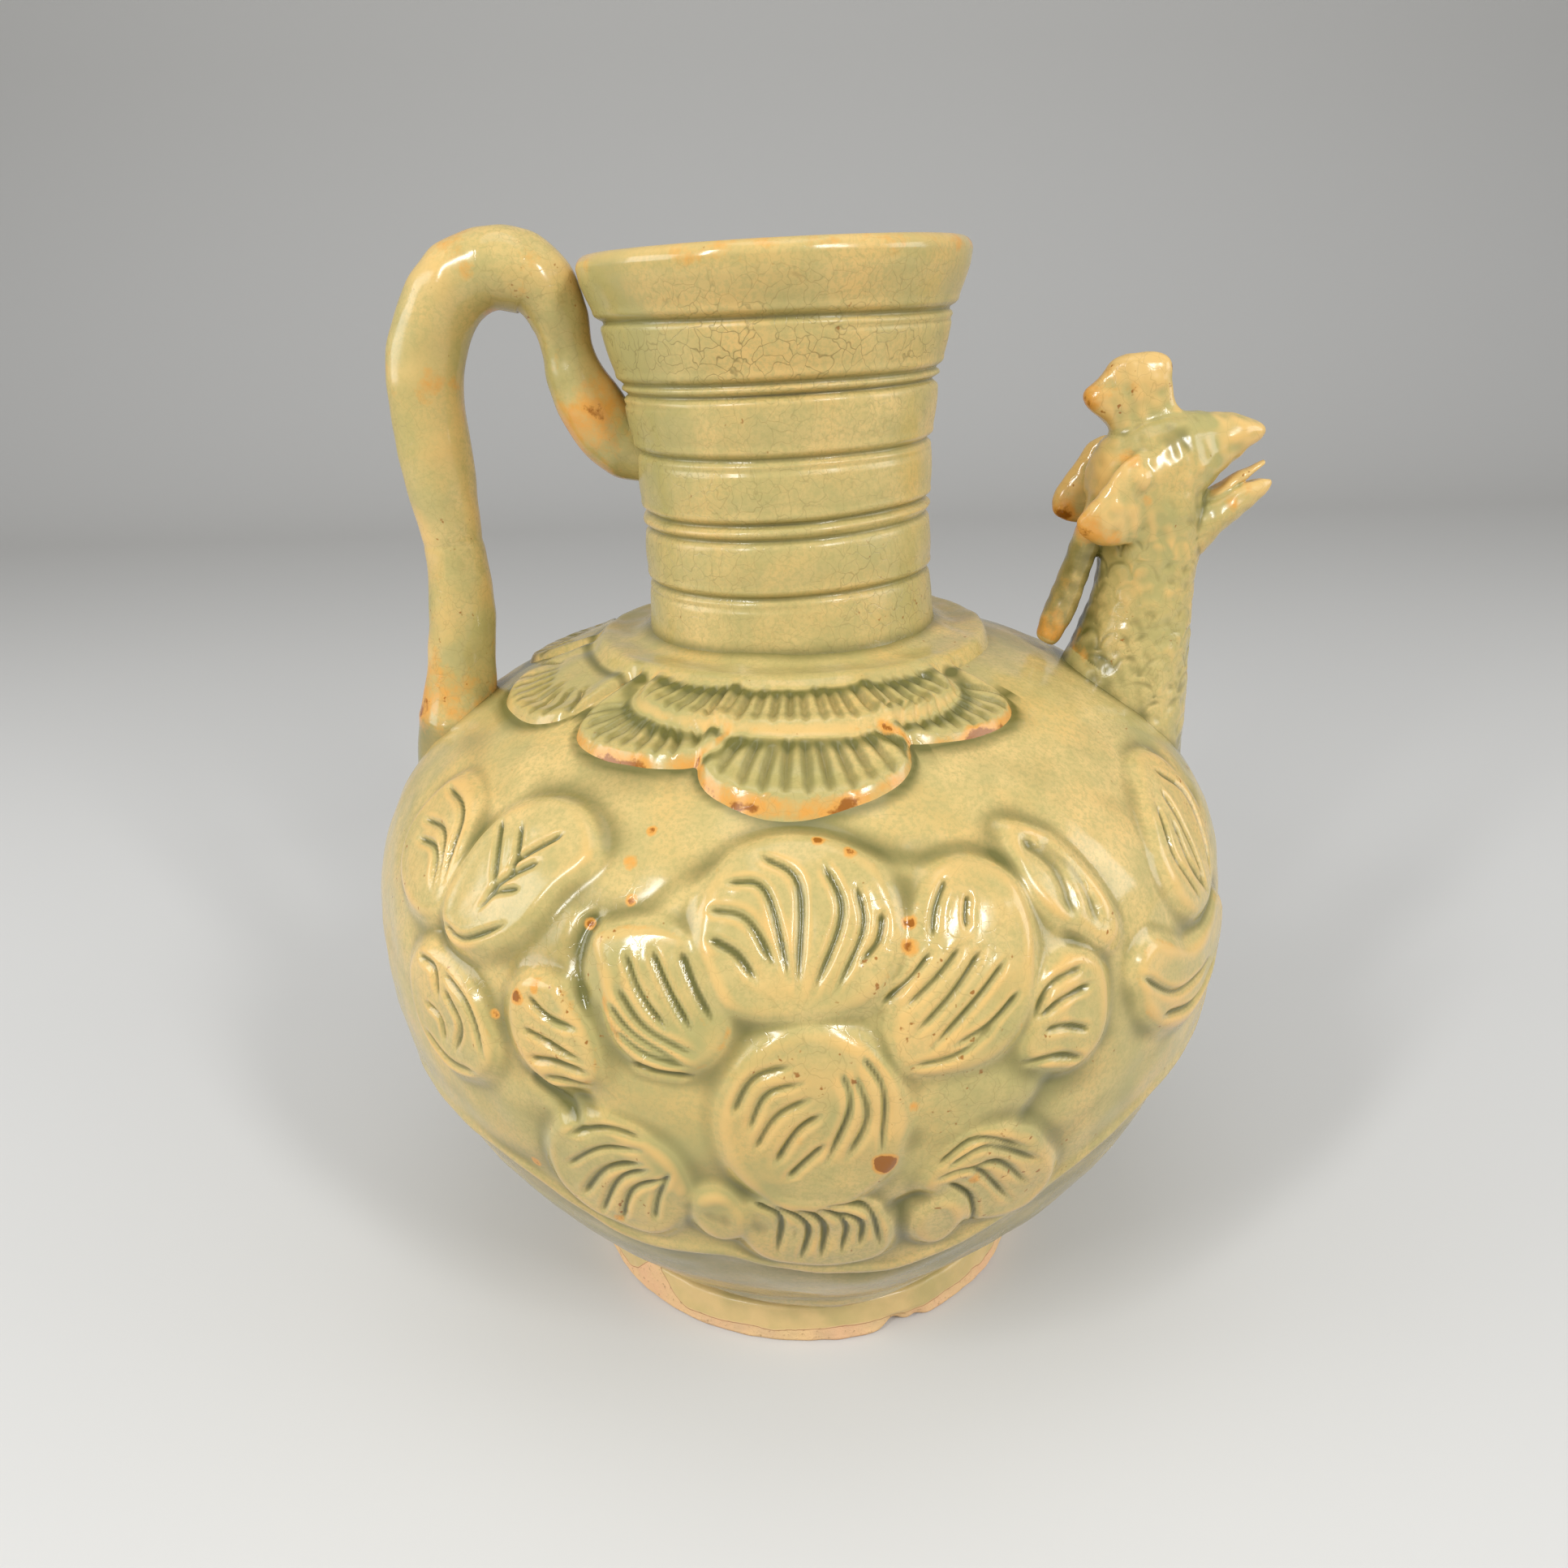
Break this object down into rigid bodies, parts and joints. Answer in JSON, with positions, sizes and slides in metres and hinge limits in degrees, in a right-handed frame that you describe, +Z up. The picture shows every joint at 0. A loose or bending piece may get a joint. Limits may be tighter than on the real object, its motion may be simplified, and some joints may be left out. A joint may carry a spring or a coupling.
{
  "type": "wine ewer",
  "caption": "Round-bodied glazed stoneware wine ewer with a ringed trumpet neck, a looped coil handle and a bird-head pouring spout, carved with flowers.",
  "frame": {"origin": "on the surface that the foot stands on, under the centre of the whole pot's box; the body's axis is about 3 mm towards -X of it", "axes": "+Z up, +X towards the spout's beak, -X towards the handle, -Y the front seen in the picture"},
  "size_m": [0.1862, 0.1832, 0.2231],
  "materials": {
    "glaze": "olive celadon glaze, glossy, crackled, darker where it pools",
    "thin_glaze": "celadon glaze drawn thin over raised edges, warm buff with rust specks",
    "bare_clay": "unglazed stoneware, buff to pink, matt"
  },
  "bodies": {
    "root": {"foot_ring": "bare_clay", "body_shell": "glaze", "neck": "glaze", "shoulder_flange": "glaze", "handle": "glaze", "spout_neck": "glaze", "phoenix_head": "glaze", "lower_beak": "glaze", "crest": "glaze", "upper_petal_front": "thin_glaze", "upper_petal_back": "thin_glaze", "collar_lobe_front_1": "thin_glaze", "collar_lobe_back_1": "thin_glaze", "collar_lobe_front_2": "thin_glaze", "collar_lobe_back_2": "thin_glaze", "collar_lobe_front_3": "thin_glaze", "collar_lobe_back_3": "thin_glaze", "collar_lobe_front_4": "thin_glaze", "collar_lobe_back_4": "thin_glaze", "tongue": "thin_glaze", "ear_near": "thin_glaze", "ear_far": "thin_glaze", "eye_near": "thin_glaze", "eye_far": "thin_glaze", "nape_plume": "thin_glaze"}
  },
  "joints": []
}
